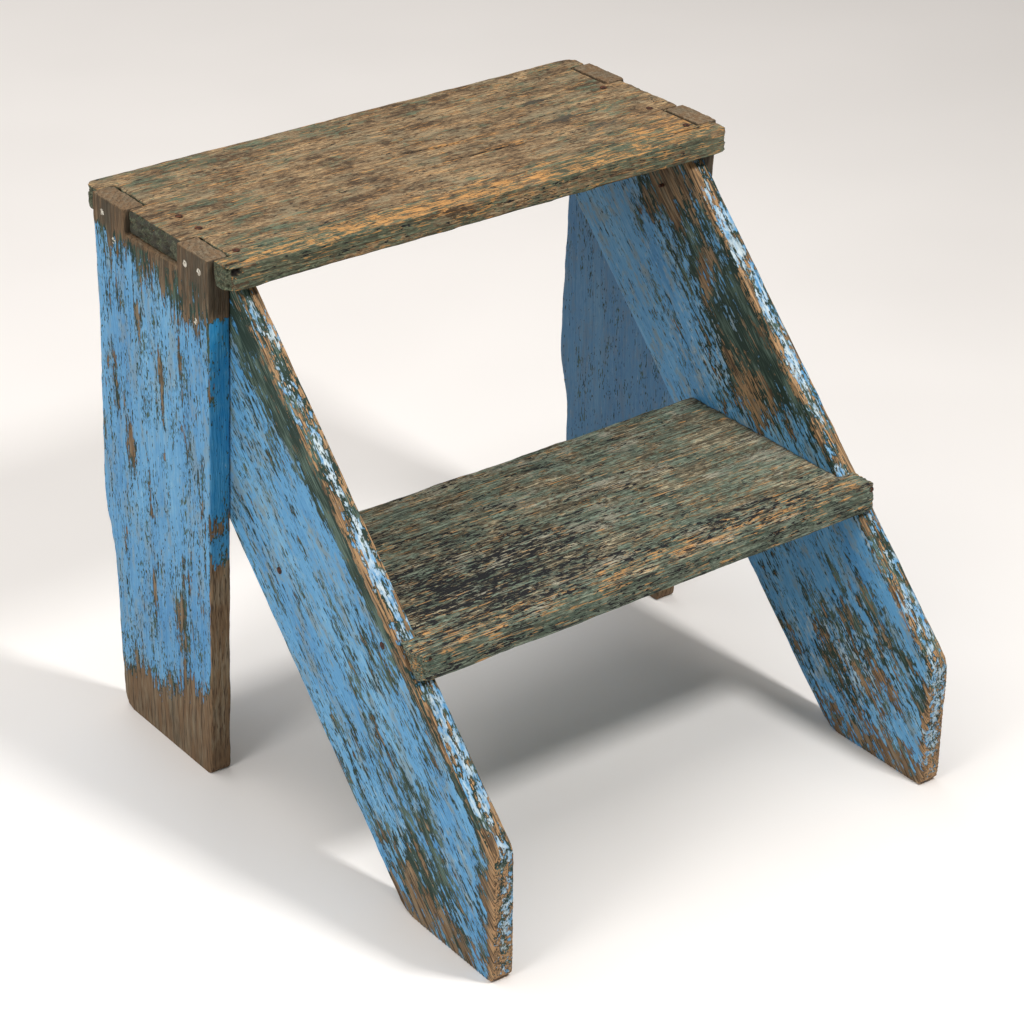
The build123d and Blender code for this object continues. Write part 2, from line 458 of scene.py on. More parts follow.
# Boards
@dataclass
class Board:
    """A weathered board: shaped from a block, remeshed along its grain, carved and given its wear."""

    sizes: StoolSizes
    node: str
    seed: int
    material: bpy.types.Material
    finish: Finish = Finish.PAINT
    voxel: float = 0.95 * MM
    stretch: float = 3.0
    turn: tuple[float, float, float] = (0.0, 0.0, 0.0)
    relief: Relief = field(default_factory=Relief)
    splits: tuple[Split, ...] = ()
    patches: tuple[Patch, ...] = ()

    def shape(self) -> bpy.types.Object:
        """Model the sound board."""
        raise NotImplementedError

    def wear(self, points: np.ndarray, facing: np.ndarray, edge: np.ndarray) -> Worn:
        """Say how worn the finish is.

        Args:
            points: the vertices, in millimetres.
            facing: their normals.
            edge: how near each is to an arris, 0 to 1.

        Returns:
            Each kind of wear, for each vertex.
        """
        raise NotImplementedError

    def to_grain(self) -> Matrix:
        """The rotation that turns the grain to run along Z."""
        return Euler(self.turn).to_matrix().to_4x4()

    def remesh(self, board: bpy.types.Object) -> None:
        """Give the board a fine mesh of faces that are long along the grain.

        Args:
            board: the sound board.
        """
        squash = Matrix.Diagonal((1, 1, 1 / self.stretch, 1)) @ self.to_grain()
        board.data.transform(squash)
        mesh_finely(board, self.voxel)
        board.data.transform(squash.inverted())

    def ring_pattern(self, grain: np.ndarray, noise: GrainNoise) -> np.ndarray:
        """Growth rings: 0 in soft early wood, 1 in hard late wood.

        Args:
            grain: points in millimetres, across the board's thickness, across its width and along it.
            noise: the board's noise.

        Returns:
            The ring value at each point.
        """
        heart = np.array(self.relief.heart)
        radius = np.linalg.norm(grain[:, :2] - heart, axis=1)
        radius += 9 * noise.at(grain / (60, 60, 260)) + 1.1 * noise.at(grain / (14, 14, 70) + 9)
        share = (radius / self.relief.ring_spacing) % 1
        return ramp(share, 0, 0.8) * (1 - ramp(share, 0.88, 1))

    def near_arris(self, board: bpy.types.Object, facing: np.ndarray, turned: np.ndarray) -> np.ndarray:
        """Say how near each vertex is to an arris.

        Args:
            board: the board.
            facing: its normals.
            turned: the rotation to the grain, as an array.

        Returns:
            0 on the flat faces and 1 on the arrises.
        """
        square = np.maximum(np.abs(facing @ turned.T).max(axis=1), np.abs(facing).max(axis=1))
        return ramp(spread(board, 1 - square, 5), 0.005, 0.16)

    def furrows(self, grain: np.ndarray, noise: GrainNoise) -> np.ndarray:
        """Find the long furrows that open along the grain, 0 to 1."""
        streak = noise.at(grain / (2.4, 2.4, 42)) + 0.5 * noise.at(grain / (30, 30, 120) + 5)
        return ramp(streak, 0.15, 0.7)

    def pits(self, grain: np.ndarray, noise: GrainNoise) -> np.ndarray:
        """Find the short pits between the fibres, 0 to 1."""
        pitted = noise.at(grain / (1.7, 1.7, 9) + 50) + 0.4 * noise.at(grain / (22, 22, 60) + 80)
        return ramp(pitted, 0.35, 0.75)

    def cracks(self, points: np.ndarray, noise: GrainNoise) -> np.ndarray:
        """Find how deep the splits are.

        Args:
            points: the vertices, in millimetres.
            noise: the board's noise.

        Returns:
            The depth at each vertex, in millimetres.
        """
        crack = np.zeros(len(points))
        for split in self.splits:
            crack = np.maximum(crack, split.depth_at(points, noise))
        return crack

    def edge_loss(
        self, grain: np.ndarray, end: np.ndarray, edge: np.ndarray, noise: GrainNoise
    ) -> np.ndarray:
        """Chew the arrises and bite the ends.

        Args:
            grain: the vertices in the grain's space, in millimetres.
            end: 1 on end grain, 0 elsewhere.
            edge: how near each vertex is to an arris.
            noise: the board's noise.

        Returns:
            The depth lost at each vertex, in millimetres.
        """
        gnaw = np.clip(0.4 + 1.1 * noise.layered(grain / (12, 12, 30) + 40, 3), 0, 2.2)
        bite = np.clip(0.1 + 1.2 * noise.layered(grain / (7, 11, 40) + 60, 3), 0, 1.3)
        return self.relief.edge_loss * edge * gnaw + self.relief.end_loss * end * bite

    def weather(self, board: bpy.types.Object) -> None:
        """Carve the weather's relief into the mesh and store the wear for its finish.

        Args:
            board: the finely meshed board.
        """
        noise = GrainNoise(self.seed)
        places = coordinates(board)
        facing = normals(board)
        points = places / MM
        turned = np.array(self.to_grain().to_3x3())
        grain = points @ turned.T
        edge = self.near_arris(board, facing, turned)
        end = ramp(np.abs(facing @ turned.T)[:, 2], 0.6, 0.95)
        rings = self.ring_pattern(grain, noise)
        furrow = self.furrows(grain, noise)
        pit = self.pits(grain, noise)
        crack = self.cracks(points, noise)
        sag = 0.5 + 0.5 * noise.at(grain / (35, 35, 110) + 20)
        depth = self.relief.rings * (1 - rings) + self.relief.furrows * furrow + self.relief.pits * pit
        depth += self.relief.sag * sag + crack + self.edge_loss(grain, end, edge, noise)
        depth *= ramp(places[:, 2], 0.0, 4 * MM) * 0.9 + 0.1
        moved = places - facing * (depth * MM)[:, None]
        board.data.vertices.foreach_set("co", moved.ravel())
        worn = self.wear(points, facing, edge)
        for patch in self.patches:
            worn[patch.kind] = worn.get(patch.kind, 0) + patch.over(points)
        for kind, amount in worn.items():
            keep_attribute(board, kind.value, amount)
        keep_attribute(board, "edge", edge)
        keep_attribute(board, "ring", rings)
        keep_attribute(board, "furrow", np.clip(furrow * 0.7 + pit * 0.8, 0, 1))
        keep_attribute(board, "split", np.clip(crack, 0, 1))
        board.data.update()

    def build(self) -> bpy.types.Object:
        """Make the board and hand it to the frame.

        Returns:
            The finished board.
        """
        board = self.shape()
        board.name = f"{self.node}_board"
        self.remesh(board)
        self.weather(board)
        board.data.materials.clear()
        board.data.materials.append(self.material)
        only(board)
        bpy.ops.object.shade_smooth()
        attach(board, "root")
        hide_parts(self.node)
        log.info("%s: %d faces", board.name, len(board.data.polygons))
        return board


@dataclass
class Upright(Board):
    """A wide end board with two ears, a leaning front edge and a swelling at its back."""

    side: int = -1
    foot_round: float = 13 * MM
    front_foot_round: float = 4 * MM
    arris: float = 2.5 * MM
    swell_heights: tuple[float, float, float] = (143.0, 205.0, 395.0)

    def shape(self) -> bpy.types.Object:
        """Saw the board from a block, swell its back edge and notch its head.

        Returns:
            The sound board.
        """
        s = self.sizes
        inner = s.upright_low.x
        low_x, high_x = sorted((self.side * inner, self.side * s.upright_high.x))
        board = add_block(self.node, (low_x, s.front_y, 0), (high_x, s.rear_y, s.upright_high.z))
        lean = Vector((0, -s.under_top, -s.foot_setback))
        slice_off(board, (0, s.front_y, s.under_top), lean)
        for height in np.linspace(120 * MM, 410 * MM, 30):
            score(board, (0, 0, height), (0, 0, 1))
        for vertex in board.data.vertices:
            if vertex.co.y > s.rear_y - 1 * MM:
                vertex.co.y += self.swelling(vertex.co.z / MM) * MM
        bevel_edges(board, self.is_rear_foot, self.foot_round, 6)
        bevel_edges(board, self.is_front_foot, self.front_foot_round, 3)
        bevel_edges(board, self.is_long_edge, self.arris, 3)
        low_y, high_y = s.front_y + s.front_ear, s.rear_y - s.rear_ear
        notch = add_block("notch", (low_x - 0.01, low_y, s.under_top), (high_x + 0.01, high_y, 1.0))
        cut_away(board, notch)
        return board

    def is_rear_foot(self, a: Vector, b: Vector) -> bool:
        """Whether an edge is the foot's rear corner."""
        return max(a.z, b.z) < 1 * MM and runs_across(a, b) and a.y > self.sizes.front_y + 90 * MM

    def is_front_foot(self, a: Vector, b: Vector) -> bool:
        """Whether an edge is the foot's front corner."""
        return max(a.z, b.z) < 1 * MM and runs_across(a, b) and a.y < self.sizes.front_y + 60 * MM

    def is_long_edge(self, a: Vector, b: Vector) -> bool:
        """Whether an edge runs up the front or the back of the board.

        Args:
            a: the edge's one end.
            b: its other end.

        Returns:
            True where it is rounded as an arris.
        """
        s = self.sizes
        if abs(a.x - b.x) > 1 * MM or abs(a.z - b.z) < 1 * MM:
            return False
        leaned = [max(0, s.under_top - p.z) * s.foot_setback / s.under_top for p in (a, b)]
        off_front = [abs(p.y - s.front_y - lean) for p, lean in zip((a, b), leaned)]
        at_back = [p.y > s.rear_y - 4 * MM for p in (a, b)]
        return max(off_front) < 1 * MM or all(at_back)

    def swelling(self, height: float) -> float:
        """How far the back edge stands out at a height, both in millimetres.

        Args:
            height: the height above the floor.

        Returns:
            How far the edge stands out.
        """
        depth = self.sizes.swell / MM
        start, fullest, end = self.swell_heights
        if height < fullest:
            share = min(max((height - start) / (fullest - start), 0), 1)
            return depth * share * share * (3 - 2 * share)
        return depth * min(max((end - height) / (end - fullest), 0), 1)

    def wear(self, points: np.ndarray, facing: np.ndarray, edge: np.ndarray) -> Worn:
        """Paint is gone at the head, the foot, the arrises and the lower half of the front edge; the inner
        face gets painted shade.

        Args:
            points: the vertices, in millimetres.
            facing: their normals.
            edge: how near each is to an arris, 0 to 1.

        Returns:
            Each kind of wear, for each vertex.
        """
        s = self.sizes
        z = points[:, 2]
        y = points[:, 1] - s.front_y / MM
        outer = ramp(facing[:, 0] * self.side, 0.3, 0.7)
        front = ramp(-facing[:, 1], 0.4, 0.8)
        crown = ramp(facing[:, 2], 0.3, 0.7) * ramp(z, 440, 460)
        line = 455 - 20 * np.exp(-(((y - 34) / 30) ** 2)) + 8 * ramp(y, 140, 172)
        head = ramp(z, line - 44, line + 18)
        foot = 1 - ramp(z - 0.24 * (172 - y), -12, 78)
        low = front * (1 - ramp(z, 170, 230))
        nose = front * ramp(z, 424, 436)
        knocks = front * (np.exp(-(((z - 243) / 13) ** 2)) + 0.55 * np.exp(-(((z - 365) / 9) ** 2)))
        lost = 0.28 + 0.03 * outer + 0.38 * head * outer + 0.62 * foot + 0.30 * edge + 0.45 * crown
        lost += 0.4 * ramp(z, 454, 468) + 0.6 * low + 0.7 * nose + 0.27 * knocks
        lost -= 0.14 * front * ramp(z, 235, 260) * (1 - edge) + 0.08 * (1 - outer) * (1 - front)
        bare = 0.14 + 0.16 * foot + 0.35 * low + 0.4 * nose - 0.10 * head * outer + 0.2 * knocks
        bare -= 0.1 * edge * (1 - low) + 0.05 * crown
        fresh = front * (1 - edge)
        dirt = 0.62 * head * (1 - 0.6 * crown) + 0.25 * foot + 0.3 * nose
        # The green value here is painted shade: it darkens the inner face, which lies in the shade of the top
        # and the other upright.
        return {
            Wear.LOST: lost, Wear.BARE: bare, Wear.FRESH: fresh, Wear.CHALKED: 0.15 * edge * outer,
            Wear.PORES: dirt, Wear.GREEN: 0.6 * (1 - ramp(facing[:, 0] * self.side, -0.7, -0.3)),
        }


@dataclass
class Stringer(Board):
    """A slanted front leg, plumb-cut at the toe and rounded along its front."""

    side: int = -1
    toe_round: float = 8 * MM
    heel_round: float = 12 * MM
    knee_round: float = 5 * MM
    front_round: float = 6 * MM
    back_round: float = 2.5 * MM
    toe_arris: float = 4 * MM

    def shape(self) -> bpy.types.Object:
        """Saw the slants from a block and round the arrises.

        Returns:
            The sound board.
        """
        s = self.sizes
        low_x, high_x = sorted((self.side * s.stringer_low.x, self.side * s.stringer_high.x))
        low, high = s.stringer_low, s.stringer_high
        board = add_block(self.node, (low_x, low.y, 0), (high_x, high.y, high.z))
        square = Vector((0, -1, s.slant))
        slice_off(board, (0, s.stringer_front(0), 0), square)
        heel = s.stringer_front(0) + s.level_width
        slice_off(board, (0, heel, 0), -square)
        bevel_edges(board, self.is_toe_corner, self.toe_round, 5)
        bevel_edges(board, self.is_heel_corner, self.heel_round, 5)
        bevel_edges(board, self.is_knee, self.knee_round, 3)
        bevel_edges(board, self.is_front_line, self.front_round, 4)
        bevel_edges(board, self.is_back_line, self.back_round, 2)
        bevel_edges(board, self.is_toe_side, self.toe_arris, 3)
        return board

    def is_toe_corner(self, a: Vector, b: Vector) -> bool:
        """Whether an edge is the toe's corner on the floor."""
        return runs_across(a, b) and a.z < 1 * MM and a.y < self.sizes.stringer_low.y + 1 * MM

    def is_heel_corner(self, a: Vector, b: Vector) -> bool:
        """Whether an edge is the heel's corner on the floor."""
        return runs_across(a, b) and a.z < 1 * MM and a.y > self.sizes.stringer_low.y + 40 * MM

    def is_knee(self, a: Vector, b: Vector) -> bool:
        """Whether an edge is the corner between the toe and the slanted front."""
        return runs_across(a, b) and abs(a.z - self.sizes.toe_height) < 2 * MM

    def is_front_line(self, a: Vector, b: Vector) -> bool:
        """Whether an edge runs up the slanted front."""
        return self.along_line(a, b, 0)

    def is_back_line(self, a: Vector, b: Vector) -> bool:
        """Whether an edge runs up the slanted back."""
        return self.along_line(a, b, self.sizes.level_width)

    def along_line(self, a: Vector, b: Vector, back: float) -> bool:
        """Whether an edge runs up the slant, a level distance behind the front.

        Args:
            a: the edge's one end.
            b: its other end.
            back: the level distance behind the slanted front.

        Returns:
            True where both ends lie on that line.
        """
        s = self.sizes
        level = abs(a.x - b.x) < 1 * MM and abs(a.z - b.z) > 20 * MM
        return level and all(abs(p.y - s.stringer_front(p.z) - back) < 1 * MM for p in (a, b))

    def is_toe_side(self, a: Vector, b: Vector) -> bool:
        """Whether an edge runs up a side of the toe."""
        low_y = self.sizes.stringer_low.y
        return abs(a.x - b.x) < 0.1 * MM and abs(a.z - b.z) > 60 * MM and max(a.y, b.y) < low_y + 0.5 * MM

    def wear(self, points: np.ndarray, facing: np.ndarray, edge: np.ndarray) -> Worn:
        """Paint is gone along the rounded front, at the foot and where shoes scuffed it.

        Args:
            points: the vertices, in millimetres.
            facing: their normals.
            edge: how near each is to an arris, 0 to 1.

        Returns:
            Each kind of wear, for each vertex.
        """
        s = self.sizes
        x, y, z = points.T
        behind = y - s.stringer_front(0) / MM - z * s.slant
        middle = abs(x) - (s.stringer_low.x + s.stringer_high.x) / 2 / MM
        front = 1 - ramp(behind, 6, 16)
        toe = 1 - ramp(y - s.stringer_low.y / MM, 4, 10)
        rim = np.maximum(front, toe)
        centre = rim * np.exp(-((middle / 4.6) ** 2))
        inside = ramp(-facing[:, 0] * self.side, 0.3, 0.7)
        outside = ramp(facing[:, 0] * self.side, 0.3, 0.7)
        foot = 1 - ramp(z, 6, 46)
        reach = ramp(z, 190, 450)
        band = (1 - ramp(behind, 8 + 30 * reach, 22 + 62 * reach)) * outside
        scuff = inside * ramp(z, 225, 270) * (1 - ramp(behind, 62, 150))
        low = ramp(-z, -215, -120)
        lost = 0.30 + 0.21 * rim - 0.03 * centre + 0.10 * edge + 0.18 * foot + 0.24 * band + 0.20 * scuff
        lost += 0.07 * low * inside + 0.03 * outside - 0.05 * inside * (1 - low)
        bare = 0.04 + 0.06 * rim - 0.05 * centre + 0.12 * foot - 0.22 * band - 0.20 * scuff
        return {Wear.LOST: lost, Wear.BARE: bare, Wear.CHALKED: np.clip(0.46 * rim + 0.22 * centre, 0, 1)}


@dataclass
class Tread(Board):
    """A tread: a board with its grain along X and rounded noses."""

    nose_round: float = 9.6 * MM
    corner_round: float = 9 * MM
    end_round: float = 3 * MM
    low: Vector = field(default_factory=Vector)
    high: Vector = field(default_factory=Vector)

    def plank(self) -> bpy.types.Object:
        """A plank with rounded noses and corners.

        Returns:
            The plank.
        """
        plank = add_block(self.node, self.low, self.high)
        bevel_edges(plank, self.is_corner, self.corner_round, 4)
        bevel_edges(plank, self.is_nose, self.nose_round, 5)
        bevel_edges(plank, self.is_end, self.end_round, 3)
        return plank

    def is_corner(self, a: Vector, b: Vector) -> bool:
        """Whether an edge stands upright at a corner."""
        return abs(a.z - b.z) > 5 * MM

    def is_nose(self, a: Vector, b: Vector) -> bool:
        """Whether an edge runs the length of the tread."""
        return abs(a.x - b.x) > 200 * MM

    def is_end(self, a: Vector, b: Vector) -> bool:
        """Whether an edge runs along one of the tread's ends."""
        from_end = min(abs(a.x - self.low.x), abs(a.x - self.high.x))
        return from_end < 0.1 * MM and abs(a.y - b.y) > 60 * MM


@dataclass
class TopTread(Tread):
    """The top board, notched for the uprights' ears."""

    gap: float = 0.5 * MM

    def shape(self) -> bpy.types.Object:
        """Cut the four notches.

        Returns:
            The sound tread.
        """
        s = self.sizes
        plank = self.plank()
        inner = s.upright_low.x - self.gap
        ears = (
            (s.front_y - self.gap, s.front_y + s.front_ear + self.gap),
            (s.rear_y - s.rear_ear - self.gap, s.rear_y + self.gap),
        )
        for side in (-1, 1):
            for low_y, high_y in ears:
                low_x, high_x = sorted((side * inner, side * 0.3))
                cut_away(plank, add_block("notch", (low_x, low_y, 0.4), (high_x, high_y, 0.6)))
        return plank

    def wear(self, points: np.ndarray, facing: np.ndarray, edge: np.ndarray) -> Worn:
        """Feet have worn the front nose; green stays towards the corners and underneath.

        Args:
            points: the vertices, in millimetres.
            facing: their normals.
            edge: how near each is to an arris, 0 to 1.

        Returns:
            Each kind of wear, for each vertex.
        """
        x = points[:, 0]
        y = points[:, 1] - self.sizes.front_y / MM
        nose = np.exp(-(((y + 14) / 24) ** 2))
        under = ramp(-facing[:, 2], -0.1, 0.6)
        end = ramp(abs(facing[:, 0]), 0.5, 0.9)
        front = ramp(-facing[:, 1], 0.5, 0.95)
        lost = 0.37 + 0.17 * nose * (1 - under) * (1 - 0.6 * front) - 0.3 * end
        green = 0.30 + 0.20 * nose + 0.12 * np.exp(-(((abs(x) - 190) / 60) ** 2)) + 0.55 * under + 0.5 * end
        joint = end * (1 - ramp(abs(y - 86), 34, 44))
        return {
            Wear.LOST: lost, Wear.GREEN: green, Wear.PORES: 0.25 - 0.2 * under, Wear.CHALKED: 0.5 * joint,
        }


@dataclass
class StepTread(Tread):
    """The lower tread, with ears lapped over the stringers' front edges."""

    def shape(self) -> bpy.types.Object:
        """Cut the slanted housings for the stringers.

        Returns:
            The sound tread.
        """
        s = self.sizes
        plank = self.plank()
        for side in (-1, 1):
            low_x, high_x = sorted((side * s.stringer_low.x, side * 0.3))
            housing = add_block("housing", (low_x, self.low.y - 0.1, 0.15), (high_x, self.high.y + 0.1, 0.32))
            slice_off(housing, (0, s.stringer_front(0), 0), Vector((0, -1, s.slant)))
            cut_away(plank, housing)
        return plank

    def wear(self, points: np.ndarray, facing: np.ndarray, edge: np.ndarray) -> Worn:
        """Feet have worn the nose and opened the pores behind it.

        Args:
            points: the vertices, in millimetres.
            facing: their normals.
            edge: how near each is to an arris, 0 to 1.

        Returns:
            Each kind of wear, for each vertex.
        """
        x = points[:, 0]
        y = points[:, 1] - self.low.y / MM
        nose = np.exp(-(((y - 16) / 16) ** 2))
        under = ramp(-facing[:, 2], -0.1, 0.6)
        front = ramp(-facing[:, 1], 0.5, 0.9)
        end = ramp(abs(facing[:, 0]), 0.5, 0.9)
        lost = 0.36 + 0.17 * nose * (1 - 0.5 * front) * (1 - under) + 0.05 * edge
        green = 0.49 + 0.08 * nose + 0.40 * under + 0.25 * front + 0.3 * end
        pores = 0.36 + 0.34 * np.exp(-(((x + 120) / 105) ** 2) - (((y - 70) / 60) ** 2))
        pores += 0.25 * np.exp(-(((x - 120) / 80) ** 2) - (((y - 22) / 18) ** 2)) - 0.4 * under
        pores -= 0.2 * np.exp(-(((x - 170) / 70) ** 2) - (((y - 120) / 80) ** 2))
        return {Wear.LOST: lost, Wear.GREEN: green, Wear.PORES: pores}


# Finishes
def linear(colour: Colour) -> tuple[float, float, float, float]:
    """A screen colour, 0 to 255, as the linear colour a shader takes.

    Args:
        colour: red, green and blue, 0 to 255.

    Returns:
        Linear red, green and blue, and full alpha.
    """
    shares = [value / 255 for value in colour]
    red, green, blue = [c / 12.92 if c <= 0.04045 else ((c + 0.055) / 1.055) ** 2.4 for c in shares]
    return (red, green, blue, 1.0)


class FinishGraph:
    """A material's nodes, over a pattern space in millimetres with the grain along Z."""

    def __init__(self, name: str, turn: tuple[float, float, float]) -> None:
        """Start the material.

        Args:
            name: the material's name.
            turn: the rotation that brings the grain to Z.
        """
        self.material = bpy.data.materials.new(name)
        self.material.use_nodes = True
        self.nodes = self.material.node_tree.nodes
        self.links = self.material.node_tree.links
        self.shader = self.nodes["Principled BSDF"]
        place = self.nodes.new("ShaderNodeTexCoord")
        turned = self.nodes.new("ShaderNodeMapping")
        turned.inputs["Rotation"].default_value = turn
        turned.inputs["Scale"].default_value = (1000, 1000, 1000)
        self.links.new(place.outputs["Object"], turned.inputs["Vector"])
        self.space = turned.outputs["Vector"]

    def give(self, socket: bpy.types.NodeSocket, value: Value) -> None:
        """Link a socket to another, or set its value.

        Args:
            socket: the socket that takes it.
            value: another socket, or a number or colour.
        """
        if isinstance(value, bpy.types.NodeSocket):
            self.links.new(value, socket)
        else:
            socket.default_value = value

    def math(self, operation: str, first: Value, second: Value = 0.0) -> bpy.types.NodeSocket:
        """Combine two numbers.

        Args:
            operation: Blender's name for it.
            first: the first number.
            second: the second one.

        Returns:
            The result.
        """
        node = self.nodes.new("ShaderNodeMath")
        node.operation = operation
        self.give(node.inputs[0], first)
        self.give(node.inputs[1], second)
        return node.outputs[0]

    def total(self, start: Value, *terms: tuple[float, bpy.types.NodeSocket]) -> bpy.types.NodeSocket:
        """Add weighted values to a starting one.

        Args:
            start: the value they are added to.
            terms: each weight with its value.

        Returns:
            The sum.
        """
        result = start
        for weight, socket in terms:
            node = self.nodes.new("ShaderNodeMath")
            node.operation = "MULTIPLY_ADD"
            self.links.new(socket, node.inputs[0])
            node.inputs[1].default_value = weight
            self.give(node.inputs[2], result)
            result = node.outputs[0]
        return result

    def kept(self, name: str) -> bpy.types.NodeSocket:
        """A value that the board's mesh keeps at each vertex.

        Args:
            name: the attribute's name.

        Returns:
            The value.
        """
        node = self.nodes.new("ShaderNodeAttribute")
        node.attribute_name = name
        return node.outputs["Fac"]

    def noise(self, size: Sequence[float], detail: float = 1.0, rough: float = 0.55) -> bpy.types.NodeSocket:
        """Noise with blobs of a size in millimetres, across, across and along the grain.

        Args:
            size: the blobs' three sizes.
            detail: how many finer layers are added.
            rough: how strong each finer layer is.

        Returns:
            Values about -1 to 1.
        """
        scaled = self.nodes.new("ShaderNodeVectorMath")
        scaled.operation = "MULTIPLY_ADD"
        self.links.new(self.space, scaled.inputs[0])
        scaled.inputs[1].default_value = [1 / (1.6 * length) for length in size]
        shift = 7.3 * len(self.nodes)
        scaled.inputs[2].default_value = (shift, 2 * shift, 3 * shift)
        node = self.nodes.new("ShaderNodeTexNoise")
        self.links.new(scaled.outputs[0], node.inputs["Vector"])
        node.inputs["Scale"].default_value = 1.0
        node.inputs["Detail"].default_value = detail
        node.inputs["Roughness"].default_value = rough
        return self.total(-2.0, (4.0, node.outputs[0]))

    def step(self, value: bpy.types.NodeSocket, low: float, high: float) -> bpy.types.NodeSocket:
        """Ease a value from 0 at low to 1 at high.

        Args:
            value: what is eased.
            low: the value that gives 0.
            high: the value that gives 1.

        Returns:
            The eased value.
        """
        node = self.nodes.new("ShaderNodeMapRange")
        node.interpolation_type = "SMOOTHSTEP"
        self.links.new(value, node.inputs["Value"])
        node.inputs["From Min"].default_value = low
        node.inputs["From Max"].default_value = high
        return node.outputs["Result"]

    def blend(self, share: Value, first: Shade, second: Shade) -> bpy.types.NodeSocket:
        """Go from one colour to another.

        Args:
            share: how much of the second shows, 0 to 1.
            first: the first colour.
            second: the second one.

        Returns:
            The mixed colour.
        """
        node = self.nodes.new("ShaderNodeMix")
        node.data_type = "RGBA"
        self.give(node.inputs["Factor"], share)
        self.give(node.inputs[6], linear(first) if isinstance(first, tuple) else first)
        self.give(node.inputs[7], linear(second) if isinstance(second, tuple) else second)
        return node.outputs[2]

    def cover(
        self, under: Shade, over: Shade, value: bpy.types.NodeSocket, low: float, high: float, strength: float
    ) -> bpy.types.NodeSocket:
        """Lay a colour over another where a value is high.

        Args:
            under: the colour below.
            over: the colour laid on it.
            value: what decides where.
            low: the value where it starts to show.
            high: the value where it shows fully.
            strength: how well it hides what is under it.

        Returns:
            The mixed colour.
        """
        share = self.math("MULTIPLY", self.step(value, low, high), strength)
        return self.blend(share, under, over)

    def dress(self, colour: bpy.types.NodeSocket, roughness: Value, gloss: float = 0.5) -> None:
        """Give the surface its colour and sheen.

        Args:
            colour: its colour.
            roughness: how matt it is, 0 to 1.
            gloss: how much it mirrors, where 0.5 is usual.
        """
        self.give(self.shader.inputs["Base Color"], colour)
        self.give(self.shader.inputs["Roughness"], roughness)
        self.shader.inputs["Specular IOR Level"].default_value = gloss

    def relief(self, height: bpy.types.NodeSocket, reach: float, strength: float) -> None:
        """Raise the surface by a height, where 1 is the reach in metres.

        Args:
            height: the height.
            reach: how far a height of 1 stands out.
            strength: how strongly it shows.
        """
        node = self.nodes.new("ShaderNodeBump")
        node.inputs["Strength"].default_value = strength
        node.inputs["Distance"].default_value = reach
        self.links.new(height, node.inputs["Height"])
        self.links.new(node.outputs["Normal"], self.shader.inputs["Normal"])


@dataclass(frozen=True)
class BareWood:
    """The colours of weathered softwood."""

    brown: Colour = (118, 94, 68)
    dark: Colour = (60, 46, 33)
    tan: Colour = (184, 146, 104)
    grey: Colour = (138, 124, 101)
    dirt: Colour = (44, 42, 34)

    def colour(self, graph: FinishGraph) -> bpy.types.NodeSocket:
        """Mix the wood's colour from its rings, fibres and grey film.

        Args:
            graph: the material that is being built.

        Returns:
            The colour.
        """
        ring = graph.kept("ring")
        fibre = graph.noise((0.75, 0.75, 18), 2.0, 0.6)
        cloud = graph.noise((9, 9, 34), 3.0, 0.6)
        film = graph.total(0.0, (0.7, cloud), (0.6, graph.noise((2.2, 2.2, 20), 2.0)))
        body = graph.blend(graph.step(film, -0.4, 0.7), self.brown, self.grey)
        edge = graph.kept("edge")
        chalk = graph.kept("chalk")
        glow = graph.total(-0.1, (0.3, edge), (0.6, fibre), (0.35, cloud), (0.9, chalk))
        body = graph.blend(graph.step(glow, 0.1, 0.75), body, self.tan)
        groove = graph.total(-0.12, (0.4, ring), (-0.75, fibre))
        body = graph.cover(body, self.dark, groove, 0.05, 0.6, 0.85)
        dirty = graph.total(graph.kept("pores"), (0.5, cloud), (0.5, fibre))
        return graph.cover(body, self.dirt, dirty, 0.2, 0.9, 0.8)


